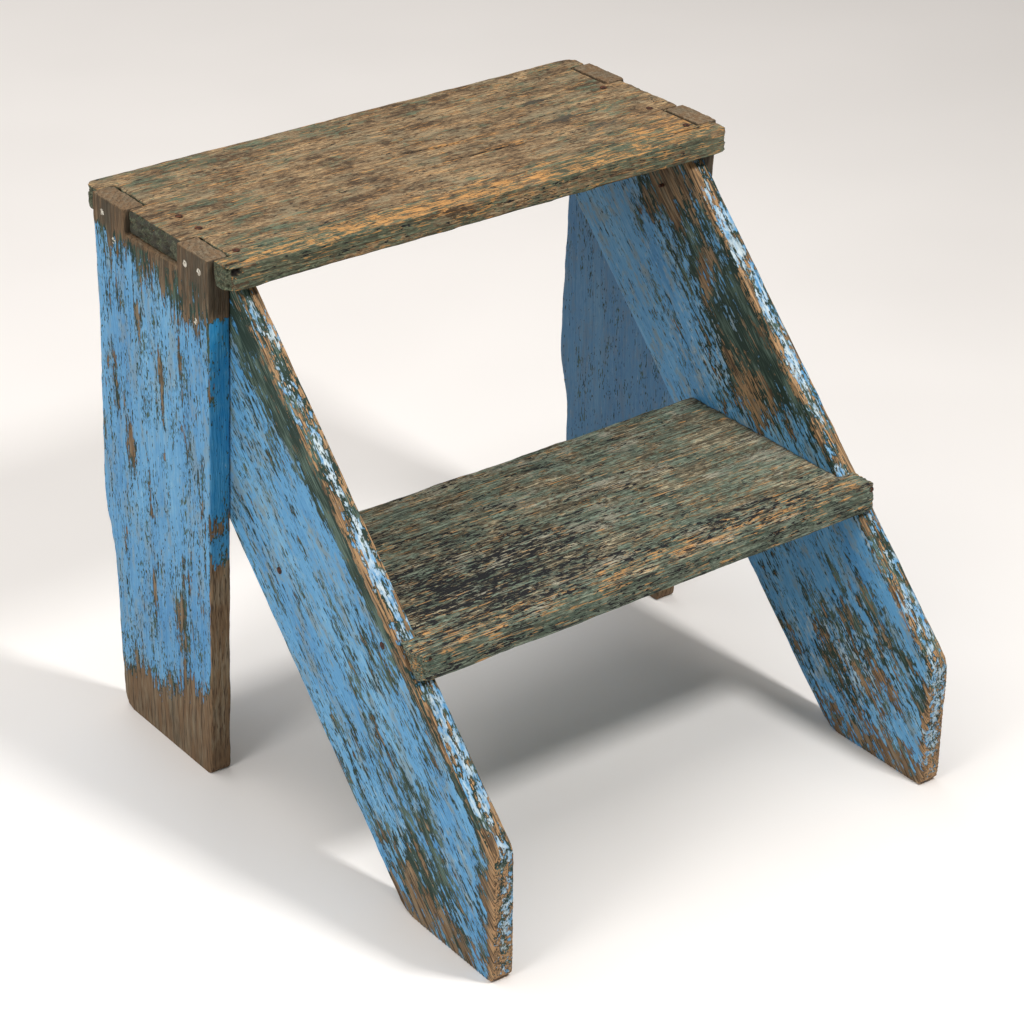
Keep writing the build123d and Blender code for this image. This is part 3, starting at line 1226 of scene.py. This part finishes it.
@dataclass(frozen=True)
class OldPaint:
    """Sky-blue paint over dark green, flaking off softwood along its grain, with painted shade on the
    uprights' inner faces.
    """

    name: str
    turn: tuple[float, float, float] = (0.0, 0.0, 0.0)
    blue: Colour = (92, 158, 204)
    pale: Colour = (128, 184, 216)
    deep: Colour = (66, 136, 188)
    fresh: Colour = (26, 122, 176)
    clean: Colour = (60, 140, 184)
    chalk: Colour = (202, 216, 220)
    dust: Colour = (122, 142, 148)
    # Painted shade: a darker blue for the uprights' inner faces.
    painted_inner_shade: Colour = (48, 92, 130)
    green: Colour = (34, 54, 46)
    soft_green: Colour = (76, 100, 84)
    wood: BareWood = field(default_factory=BareWood)
    flake: tuple[float, float, float] = (2.8, 2.8, 19.0)
    tick: tuple[float, float, float] = (0.9, 0.9, 2.6)
    sliver: tuple[float, float, float] = (0.7, 0.7, 8.0)
    ticks: float = 0.62
    dusty: float = 0.6
    flake_edge: float = 0.5
    wood_edge: float = 0.68

    def loss(self, graph: FinishGraph) -> bpy.types.NodeSocket:
        """How far past holding the topcoat is, where 0.5 is the edge of a flake.

        Args:
            graph: the material that is being built.

        Returns:
            The loss.
        """
        broad = graph.noise((13, 13, 55), 3.0)
        flake = graph.noise(self.flake, 3.0, 0.6)
        comb = graph.noise((0.9, 0.9, 26), 1.0)
        ragged = graph.noise((1.7, 1.7, 4), 3.0, 0.6)
        furrow = graph.kept("furrow")
        chipped = graph.math("MULTIPLY", graph.kept("chalk"), graph.noise((1.7, 1.7, 3.4), 3.0, 0.6))
        rough = graph.total(graph.kept("wear"), (0.08, furrow), (0.30, chipped))
        return graph.total(rough, (0.16, broad), (0.20, flake), (0.08, comb), (0.14, ragged))

    def paint(self, graph: FinishGraph) -> bpy.types.NodeSocket:
        """The topcoat's colour, brushed out unevenly, chalked on its arrises and darkened with painted shade
        on the uprights' inner faces.

        Args:
            graph: the material that is being built.

        Returns:
            The colour.
        """
        sheet = graph.noise((24, 24, 110), 2.0)
        brush = graph.noise((1.1, 1.1, 40), 2.0)
        mottle = graph.noise((2.5, 2.5, 5), 3.0, 0.6)
        tone = graph.total(0.0, (0.7, sheet), (0.55, brush), (0.45, mottle))
        colour = graph.blend(graph.step(tone, -1.0, 0.1), self.deep, self.blue)
        colour = graph.blend(graph.step(tone, 0.0, 1.1), colour, self.pale)
        grimy = graph.total(0.0, (0.8, graph.noise((6, 6, 24), 4.0, 0.65)), (0.4, mottle))
        colour = graph.cover(colour, self.dust, grimy, -0.1, 0.6, self.dusty)
        # Painted shade: the green attribute darkens the uprights' inner faces towards the shaded blue.
        colour = graph.blend(graph.kept("green"), colour, self.painted_inner_shade)
        newer = graph.blend(graph.step(tone, -0.8, 0.5), self.fresh, self.clean)
        colour = graph.blend(graph.kept("fresh"), colour, newer)
        pallor = graph.total(graph.kept("chalk"), (0.4, mottle), (0.2, brush))
        return graph.blend(graph.step(pallor, 0.25, 1.1), colour, self.chalk)

    def make(self) -> bpy.types.Material:
        """Build the material.

        Returns:
            The material.
        """
        graph = FinishGraph(self.name, self.turn)
        loss = self.loss(graph)
        tick = graph.noise(self.tick, 1.0)
        crowd = graph.noise((8, 8, 26), 2.0)
        sliver = graph.noise(self.sliver, 1.0)
        fleck = graph.total(-0.40, (0.8, tick), (0.5, sliver), (0.55, crowd), (1.5, loss))
        flaked = graph.step(loss, self.flake_edge, self.flake_edge + 0.025)
        ticked = graph.step(fleck, self.ticks - 0.03, self.ticks + 0.04)
        blue_gone = graph.math("MAXIMUM", flaked, ticked)
        fibre = graph.noise((0.7, 0.7, 12), 1.0)
        bare = graph.kept("bare")
        deeper = graph.total(loss, (1.0, bare), (0.2, graph.noise((4, 4, 22), 3.0)), (0.08, fibre))
        green_gone = graph.math("MULTIPLY", graph.step(deeper, self.wood_edge, self.wood_edge + 0.05), flaked)
        rim = graph.math("MULTIPLY", graph.step(loss, 0.43, self.flake_edge), 0.45)
        blue = graph.blend(rim, self.paint(graph), self.green)
        softened = graph.step(graph.total(crowd, (0.9, fibre)), -0.3, 1.2)
        green = graph.blend(softened, self.green, self.soft_green)
        colour = graph.blend(blue_gone, blue, green)
        colour = graph.blend(green_gone, colour, self.wood.colour(graph))
        colour = graph.blend(graph.kept("split"), colour, (26, 22, 18))
        graph.dress(colour, graph.total(0.5, (0.3, blue_gone), (0.04, fibre)), 0.35)
        height = graph.total(0.0, (-0.8, blue_gone), (-0.4, green_gone), (0.2, fibre), (0.1, tick))
        graph.relief(height, 0.0007, 0.8)
        return graph.material


@dataclass(frozen=True)
class WornTread:
    """Foot-worn softwood with green left in its grain and dirt in its pores."""

    name: str
    turn: tuple[float, float, float] = (0.0, -math.pi / 2, 0.0)
    brown: Colour = (138, 118, 88)
    tan: Colour = (186, 158, 118)
    dusk: Colour = (88, 72, 53)
    film: Colour = (152, 142, 116)
    green: Colour = (58, 76, 62)
    soft_green: Colour = (104, 120, 98)
    orange: Colour = (206, 152, 90)
    dirt: Colour = (26, 27, 30)
    shade: Colour = (66, 66, 60)
    lines: float = 0.5
    grainy: float = 1.0

    def make(self) -> bpy.types.Material:
        """Build the material.

        Returns:
            The material.
        """
        graph = FinishGraph(self.name, self.turn)
        fibre = graph.noise((0.6, 0.6, 8), 2.0, 0.65)
        streak = graph.noise((1.2, 1.2, 24), 3.0, 0.65)
        cloud = graph.noise((10, 10, 28), 4.0, 0.62)
        fleck = graph.noise((1.5, 1.5, 3.2), 3.0, 0.7)
        streaky, fibrous = 0.6 * self.grainy, 0.4 * self.grainy
        tone = graph.total(0.0, (0.8, cloud), (0.65, fleck), (streaky, streak), (fibrous, fibre))
        colour = graph.blend(graph.step(tone, -0.55, 0.0), self.dusk, self.brown)
        colour = graph.blend(graph.step(tone, 0.05, 0.5), colour, self.tan)
        film = graph.noise((14, 14, 34), 4.0)
        film = graph.total(0.0, (0.8, film), (0.4, fleck), (0.3 * self.grainy, streak))
        colour = graph.cover(colour, self.film, film, 0.0, 0.4, 0.7)
        softened = graph.step(graph.total(streak, (0.8, fleck)), -0.5, 0.7)
        greens = graph.blend(softened, self.green, self.soft_green)
        kept_green = graph.kept("green")
        mottle = graph.noise((9, 9, 22), 4.0, 0.65)
        left = graph.total(kept_green, (0.32, mottle), (0.16, streak), (0.2, fleck))
        colour = graph.cover(colour, greens, left, 0.44, 0.56, 0.85)
        knock = graph.noise((4, 4, 11), 4.0, 0.65)
        worn = graph.total(graph.kept("wear"), (0.26, knock), (0.16, fibre), (0.18, fleck))
        colour = graph.cover(colour, self.orange, worn, 0.60, 0.69, 0.85)
        grime = graph.total(graph.kept("chalk"), (0.3, graph.noise((5, 5, 13), 4.0, 0.65)), (0.2, fleck))
        colour = graph.cover(colour, self.shade, grime, 0.44, 0.56, 0.85)
        groove = graph.total(-0.1, (0.4, graph.kept("ring")), (-0.8, fibre))
        colour = graph.cover(colour, self.dusk, groove, 0.14, 0.26, 0.5)
        thread = graph.total(graph.kept("wear"), (0.5, graph.noise((0.6, 0.6, 14), 1.0)), (0.2, knock))
        colour = graph.cover(colour, self.orange, thread, 0.70, 0.75, 0.8)
        line = graph.total(0.0, (1.0, graph.noise((0.45, 0.45, 18), 1.0)), (0.45, cloud), (0.2, fibre))
        colour = graph.cover(colour, self.dirt, line, 0.42, 0.47, self.lines)
        pore = graph.noise((0.8, 0.8, 4.2), 2.0)
        open_pores = graph.kept("pores")
        dirty = graph.total(open_pores, (0.50, pore), (0.22, graph.noise((3, 3, 30), 2.0)), (0.12, cloud))
        dirt = graph.step(dirty, 0.58, 0.61)
        colour = graph.blend(dirt, colour, self.dirt)
        colour = graph.blend(graph.kept("split"), colour, (22, 17, 13))
        graph.dress(colour, graph.total(0.72, (0.08, fibre)), 0.3)
        graph.relief(graph.total(0.0, (0.4, fibre), (0.4, streak), (-0.9, dirt)), 0.0008, 0.9)
        return graph.material


@dataclass(frozen=True)
class RustyIron:
    """Rust on the set heads of cut nails."""

    name: str = "rusty_iron"
    crust: Colour = (96, 52, 30)
    scale: Colour = (44, 30, 24)
    bloom: Colour = (142, 82, 44)

    def make(self) -> bpy.types.Material:
        """Build the material.

        Returns:
            The material.
        """
        graph = FinishGraph(self.name, (0.0, 0.0, 0.0))
        blotch = graph.noise((1.2, 1.2, 1.2), 3.0, 0.6)
        grit = graph.noise((0.3, 0.3, 0.3), 2.0, 0.6)
        colour = graph.blend(graph.step(blotch, -0.5, 0.7), self.scale, self.crust)
        colour = graph.blend(graph.step(graph.total(blotch, (0.7, grit)), 0.3, 1.0), colour, self.bloom)
        graph.dress(colour, graph.total(0.78, (0.12, grit)))
        graph.shader.inputs["Metallic"].default_value = 0.25
        graph.relief(graph.total(0.0, (0.5, blotch), (0.4, grit)), 0.0004, 0.8)
        return graph.material


@dataclass(frozen=True)
class DryPutty:
    """Chalky putty, cracked and dirty round its rim."""

    name: str = "dry_putty"
    chalk: Colour = (226, 222, 208)
    grime: Colour = (138, 118, 92)

    def make(self) -> bpy.types.Material:
        """Build the material.

        Returns:
            The material.
        """
        graph = FinishGraph(self.name, (0.0, 0.0, 0.0))
        cloud = graph.noise((1.6, 1.6, 1.6), 3.0, 0.6)
        grit = graph.noise((0.35, 0.35, 0.35), 2.0, 0.6)
        colour = graph.blend(graph.step(graph.total(cloud, (0.5, grit)), 0.1, 0.9), self.chalk, self.grime)
        graph.dress(colour, graph.total(0.85, (0.08, grit)))
        graph.relief(graph.total(0.0, (0.5, cloud), (0.5, grit)), 0.0004, 0.8)
        return graph.material


# Nails and putty
@dataclass
class Putty:
    """Crumbling plugs of putty over nails, made from the frame's plugs."""

    node: str
    seed: int
    material: bpy.types.Material
    grain_size: float = 0.3 * MM
    crumble: float = 0.55

    def build(self) -> bpy.types.Object:
        """Copy the plugs, remesh them finely and let them crumble.

        Returns:
            The plugs, as one piece.
        """
        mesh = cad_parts[self.node].data.copy()
        plugs = bpy.data.objects.new(f"{self.node}_putty", mesh)
        bpy.context.scene.collection.objects.link(plugs)
        only(plugs)
        bpy.ops.object.mode_set(mode="EDIT")
        bpy.ops.mesh.select_all(action="SELECT")
        bpy.ops.mesh.remove_doubles(threshold=0.00001)
        bpy.ops.object.mode_set(mode="OBJECT")
        mesh_finely(plugs, self.grain_size)
        noise = GrainNoise(self.seed)
        places, facing = coordinates(plugs), normals(plugs)
        points = places / MM
        depth = np.clip(0.35 + 0.7 * noise.layered(points / 2.2, 3), 0, 1.2) * self.crumble
        moved = places - facing * (depth * MM)[:, None]
        plugs.data.vertices.foreach_set("co", moved.ravel())
        plugs.data.materials.clear()
        plugs.data.materials.append(self.material)
        bpy.ops.object.shade_smooth()
        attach(plugs, "root")
        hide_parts(self.node)
        log.info("%s: %d faces", plugs.name, len(plugs.data.polygons))
        return plugs


@dataclass
class Nails:
    """The frame's nails, given rust."""

    nodes: tuple[str, ...]
    material: bpy.types.Material

    def dress(self) -> None:
        """Put the rust on each node."""
        for name in self.nodes:
            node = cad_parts[name]
            for place in node.material_slots:
                place.link = "OBJECT"
                place.material = self.material
            log.info("%s: rusted", name)


# Studio
@dataclass(frozen=True)
class Lamp:
    """A soft box that points at the stool."""

    name: str
    place: tuple[float, float, float]
    aim: tuple[float, float, float]
    size: float
    power: float
    colour: Colour = (255, 253, 251)

    def add(self) -> None:
        """Hang the lamp."""
        light = bpy.data.lights.new(self.name, "AREA")
        light.shape = "SQUARE"
        light.size = self.size
        light.energy = self.power
        light.color = linear(self.colour)[:3]
        lamp = bpy.data.objects.new(self.name, light)
        lamp.location = self.place
        direction = Vector(self.aim) - Vector(self.place)
        lamp.rotation_euler = direction.to_track_quat("-Z", "Y").to_euler()
        bpy.context.scene.collection.objects.link(lamp)


@dataclass(frozen=True)
class Studio:
    """A pale floor, soft light and the camera."""

    floor_colour: Colour = (250, 247, 244)
    floor_size: float = 9.0
    lens: float = 102.08
    eye: tuple[float, float, float] = (-1.2936, -1.6711, 1.3672)
    target: tuple[float, float, float] = (-0.0079, 0.0114, 0.2134)
    roll: float = math.radians(0.48)
    sky: float = 0.10
    lamps: tuple[Lamp, ...] = (
        Lamp("left_lamp", (-2.1, -0.45, 1.2), (0.0, 0.0, 0.25), 0.8, 15.0),
        Lamp("right_lamp", (0.38, -1.04, 1.8), (0.0, 0.0, 0.2), 0.26, 23.0),
        Lamp("ceiling", (-0.9, 1.4, 3.7), (-0.9, 1.4, 0.0), 5.0, 158.0),
    )

    def add_floor(self) -> None:
        """Lay a plain floor with a faint unevenness."""
        deselect_all()
        bpy.ops.mesh.primitive_plane_add(size=self.floor_size, location=(0, 0, 0))
        floor = bpy.context.object
        floor.name = "studio_floor"
        graph = FinishGraph("studio_paper", (0.0, 0.0, 0.0))
        cloud = graph.noise((260, 260, 260), 2.0)
        soft = tuple(value - 4 for value in self.floor_colour)
        colour = graph.blend(graph.step(cloud, -1, 1), self.floor_colour, soft)
        graph.dress(colour, 0.7, 0.2)
        floor.data.materials.append(graph.material)

    def add_sky(self) -> None:
        """Light the studio evenly from all round."""
        world = bpy.data.worlds.new("studio")
        bpy.context.scene.world = world
        world.use_nodes = True
        background = world.node_tree.nodes["Background"]
        background.inputs["Color"].default_value = linear((255, 243, 232))
        background.inputs["Strength"].default_value = self.sky

    def show_true_colours(self) -> None:
        """Show colours as they are, without a film look."""
        bpy.context.scene.view_settings.view_transform = "Standard"

    def add_camera(self) -> None:
        """Stand the camera at its place, with its slight roll."""
        lens = bpy.data.cameras.new("camera")
        lens.lens = self.lens
        lens.sensor_width = 36.0
        camera = bpy.data.objects.new("camera", lens)
        direction = Vector(self.target) - Vector(self.eye)
        turned = direction.to_track_quat("-Z", "Y").to_matrix().to_4x4() @ Matrix.Rotation(self.roll, 4, "Z")
        camera.matrix_world = Matrix.Translation(self.eye) @ turned
        bpy.context.scene.collection.objects.link(camera)
        bpy.context.scene.camera = camera

    def build(self) -> None:
        """Set up the studio."""
        self.add_floor()
        self.add_sky()
        for lamp in self.lamps:
            lamp.add()
        self.add_camera()
        self.show_true_colours()
        log.info("studio: %d lamps", len(self.lamps))


def nail_pit(x: float, y: float, z: float) -> Split:
    """The pit over a set nail, a little longer along X."""
    return Split((x, y, z), (x + 2, y, z), width=3.6, depth=1.9, waver=0.2)


def upright_patches(side: int) -> tuple[Patch, ...]:
    """Bare streaks on an upright's outer face, in millimetres.

    Args:
        side: -1 for the left one, 1 for the right one.

    Returns:
        The patches.
    """
    x = side * 254
    spots = (
        ((x, 206, 272), (6, 6, 26), 0.42),
        ((x, 139, 442), (6, 4, 13), 0.30),
        ((x, 184, 398), (6, 6, 17), 0.26),
        ((x, 121, 388), (6, 4, 20), 0.32),
        ((x, 150, 345), (6, 3, 26), 0.24),
        ((x, 224, 308), (6, 5, 26), 0.24),
        ((x, 141, 140), (6, 13, 44), 0.30),
        ((x, 124, 168), (6, 8, 40), 0.22),
        ((x, 181, 146), (6, 4, 26), 0.26),
        ((x, 180, 230), (6, 4, 34), 0.20),
        ((x, 96, 246), (6, 5, 60), 0.18),
        ((x, 90, 400), (6, 5, 30), 0.18),
    )
    return tuple(Patch(Wear.LOST, *spot) for spot in spots)


def stringer_patches(side: int) -> tuple[Patch, ...]:
    """Scuffs on a stringer's two faces, in millimetres.

    Args:
        side: -1 for the left one, 1 for the right one.

    Returns:
        The patches.
    """
    outer, inner = side * 234, side * 215
    spots = (
        (Wear.LOST, (outer, -176, 84), (6, 34, 62), 0.22),
        (Wear.LOST, (outer, -160, 40), (6, 80, 38), 0.20),
        (Wear.CHALKED, (outer, -170, 70), (6, 80, 60), 0.30),
        (Wear.BARE, (outer, -150, 16), (6, 70, 20), 0.12),
        (Wear.BARE, (outer, -176, 84), (6, 34, 62), -0.10),
        (Wear.LOST, (outer, -258, 80), (8, 14, 44), 0.18),
        (Wear.BARE, (outer, -258, 60), (8, 12, 40), 0.16),
        (Wear.LOST, (outer, -70, 80), (8, 22, 50), 0.18),
        (Wear.LOST, (outer, -100, 215), (6, 40, 80), 0.10),
        (Wear.LOST, (outer, 50, 340), (6, 30, 50), 0.10),
        (Wear.LOST, (inner, 72, 430), (6, 44, 44), 0.18),
        (Wear.BARE, (inner, 84, 420), (6, 34, 40), 0.34),
        (Wear.LOST, (inner, 112, 412), (6, 22, 30), 0.20),
        (Wear.BARE, (inner, 34, 366), (6, 12, 26), 0.44),
        (Wear.LOST, (inner, 20, 366), (6, 40, 50), 0.10),
        (Wear.LOST, (inner, -28, 330), (6, 40, 60), 0.16),
        (Wear.LOST, (inner, -15, 285), (6, 56, 40), 0.24),
        (Wear.BARE, (inner, -50, 262), (6, 50, 20), 0.30),
        (Wear.CHALKED, (inner, -10, 290), (6, 80, 60), 0.45),
        (Wear.CHALKED, (inner, 60, 400), (6, 60, 50), 0.30),
        (Wear.LOST, (inner, -178, 130), (6, 36, 40), 0.16),
        (Wear.LOST, (inner, -175, 70), (6, 60, 34), 0.20),
        (Wear.CHALKED, (inner, -165, 80), (6, 70, 60), 0.50),
        (Wear.BARE, (inner, -225, 40), (8, 40, 44), 0.16),
        (Wear.BARE, (inner, -120, 20), (8, 60, 22), 0.14),
    )
    return tuple(Patch(*spot) for spot in spots)


def top_patches() -> tuple[Patch, ...]:
    """Grime and wear on the top tread, in millimetres.

    Returns:
        The patches.
    """
    spots = (
        (Wear.CHALKED, (155, 197, 482), (24, 7, 9), 0.66),
        (Wear.CHALKED, (150, 150, 482), (38, 8, 9), 0.66),
        (Wear.CHALKED, (168, 120, 482), (32, 7, 9), 0.60),
        (Wear.CHALKED, (196, 92, 482), (30, 6, 9), 0.60),
        (Wear.CHALKED, (232, 40, 480), (12, 9, 14), 0.85),
        (Wear.CHALKED, (-243, 42, 480), (9, 8, 14), 0.85),
        (Wear.CHALKED, (-80, 140, 482), (60, 20, 9), 0.14),
        (Wear.LOST, (205, 92, 482), (40, 22, 9), 0.20),
        (Wear.LOST, (40, 160, 482), (60, 4, 9), 0.22),
        (Wear.LOST, (60, 130, 482), (60, 4, 9), 0.22),
        (Wear.GREEN, (110, 62, 482), (60, 20, 9), 0.28),
        (Wear.GREEN, (-150, 54, 482), (70, 24, 9), 0.30),
        (Wear.GREEN, (-60, 250, 482), (140, 20, 9), 0.16),
        (Wear.LOST, (-40, 60, 482), (120, 14, 9), 0.10),
    )
    return tuple(Patch(*spot) for spot in spots)


def top_splits() -> tuple[Split, ...]:
    """Cracks and nail pits in the top tread, in millimetres.

    Returns:
        The cracks and pits.
    """
    nails = ((-224, 77), (-224, 131), (-224, 160), (224, 77), (224, 126), (224, 189))
    pits = tuple(nail_pit(x, y, 482) for x, y in nails)
    cracks = (
        Split((-14, 166, 482), (46, 158, 482), 2.0, 3.0, 0.8),
        Split((14, 131, 482), (92, 127, 482), 1.8, 2.6, 0.8),
        Split((204, 69, 482), (232, 67, 482), 2.4, 3.0, 1.6),
        Split((-248, 58, 482), (-226, 60, 482), 2.6, 3.2, 1.2),
        Split((-249, 46, 474), (-236, 50, 480), 4.2, 4.0, 1.5),
        Split((-150, 196, 482), (-60, 190, 482), 0.9, 0.9, 0.6),
        Split((90, 222, 482), (248, 214, 482), 1.0, 1.2, 0.8),
        Split((120, 104, 482), (248, 99, 482), 1.0, 1.2, 0.8),
        Split((250, 240, 478), (238, 240, 482), 4.0, 4.5, 1.0),
        Split((250, 224, 478), (242, 224, 482), 3.2, 3.5, 1.0),
    )
    return pits + cracks


def step_splits() -> tuple[Split, ...]:
    """Cracks and nail pits in the lower tread, in millimetres.

    Returns:
        The cracks and pits.
    """
    return (
        nail_pit(-224.5, -172, 240),
        nail_pit(224.5, -172, 240),
        Split((-180, -120, 243), (-60, -116, 243), 1.1, 1.2, 0.7),
        Split((-150, -60, 243), (10, -66, 243), 0.9, 1.0, 0.7),
        Split((20, -20, 243), (190, -30, 243), 0.9, 1.0, 0.7),
        Split((-215, -150, 243), (-120, -146, 243), 1.3, 1.4, 0.9),
        Split((60, -140, 243), (215, -136, 243), 1.2, 1.3, 0.9),
    )


def main() -> None:
    """Build the stool and its studio."""
    logging.basicConfig(level=logging.INFO, format="%(name)s: %(message)s")
    sizes = StoolSizes.from_frame()
    plumb = OldPaint("old_paint_upright").make()
    slanted_turn = (sizes.slant_angle, 0.0, 0.0)
    slanted = OldPaint(
        "old_paint_stringer", turn=slanted_turn, soft_green=(98, 120, 108), flake=(3.2, 3.2, 14.0),
        tick=(0.8, 0.8, 3.4), sliver=(0.5, 0.5, 18.0), ticks=0.70, dusty=0.85,
    ).make()
    level_turn = (0.0, -math.pi / 2, 0.0)
    top_finish = WornTread(
        "worn_top", brown=(140, 116, 86), dusk=(78, 62, 45), film=(150, 138, 110), lines=0.4, grainy=0.6,
    ).make()
    step_finish = WornTread(
        "worn_step", brown=(128, 118, 95), tan=(192, 180, 148), dusk=(74, 69, 54), film=(172, 171, 154),
        green=(70, 92, 80), soft_green=(124, 142, 125), lines=0.9,
    ).make()
    for side, word in ((-1, "left"), (1, "right")):
        Upright(
            sizes, f"{word}_upright", 11 + side, plumb, side=side, patches=upright_patches(side)
        ).build()
        Stringer(
            sizes, f"{word}_stringer", 31 + side, slanted, side=side, turn=slanted_turn,
            patches=stringer_patches(side),
        ).build()
    TopTread(
        sizes, "top_tread", 51, top_finish, Finish.TREAD, voxel=1.0 * MM, turn=level_turn,
        low=sizes.top_low, high=sizes.top_high, patches=top_patches(), splits=top_splits(),
        relief=Relief(edge_loss=1.8, end_loss=3.2, sag=0.7, furrows=0.35, rings=0.16),
    ).build()
    StepTread(
        sizes, "lower_tread", 61, step_finish, Finish.TREAD, turn=level_turn,
        low=sizes.step_low, high=sizes.step_high, splits=step_splits(),
        relief=Relief(edge_loss=1.6, end_loss=1.6, sag=0.6, furrows=0.6, rings=0.3, pits=0.4),
    ).build()
    putty = DryPutty().make()
    for seed, word in ((71, "left"), (72, "right")):
        Putty(f"{word}_nail_filling", seed, putty).build()
    kinds = ("ear_nails", "stringer_nails", "step_end_nails", "top_nails")
    names = [f"{word}_{kind}" for word in ("left", "right") for kind in kinds]
    Nails((*names, "step_ear_nails"), RustyIron().make()).dress()
    Studio().build()


if __name__ == "__main__":
    main()
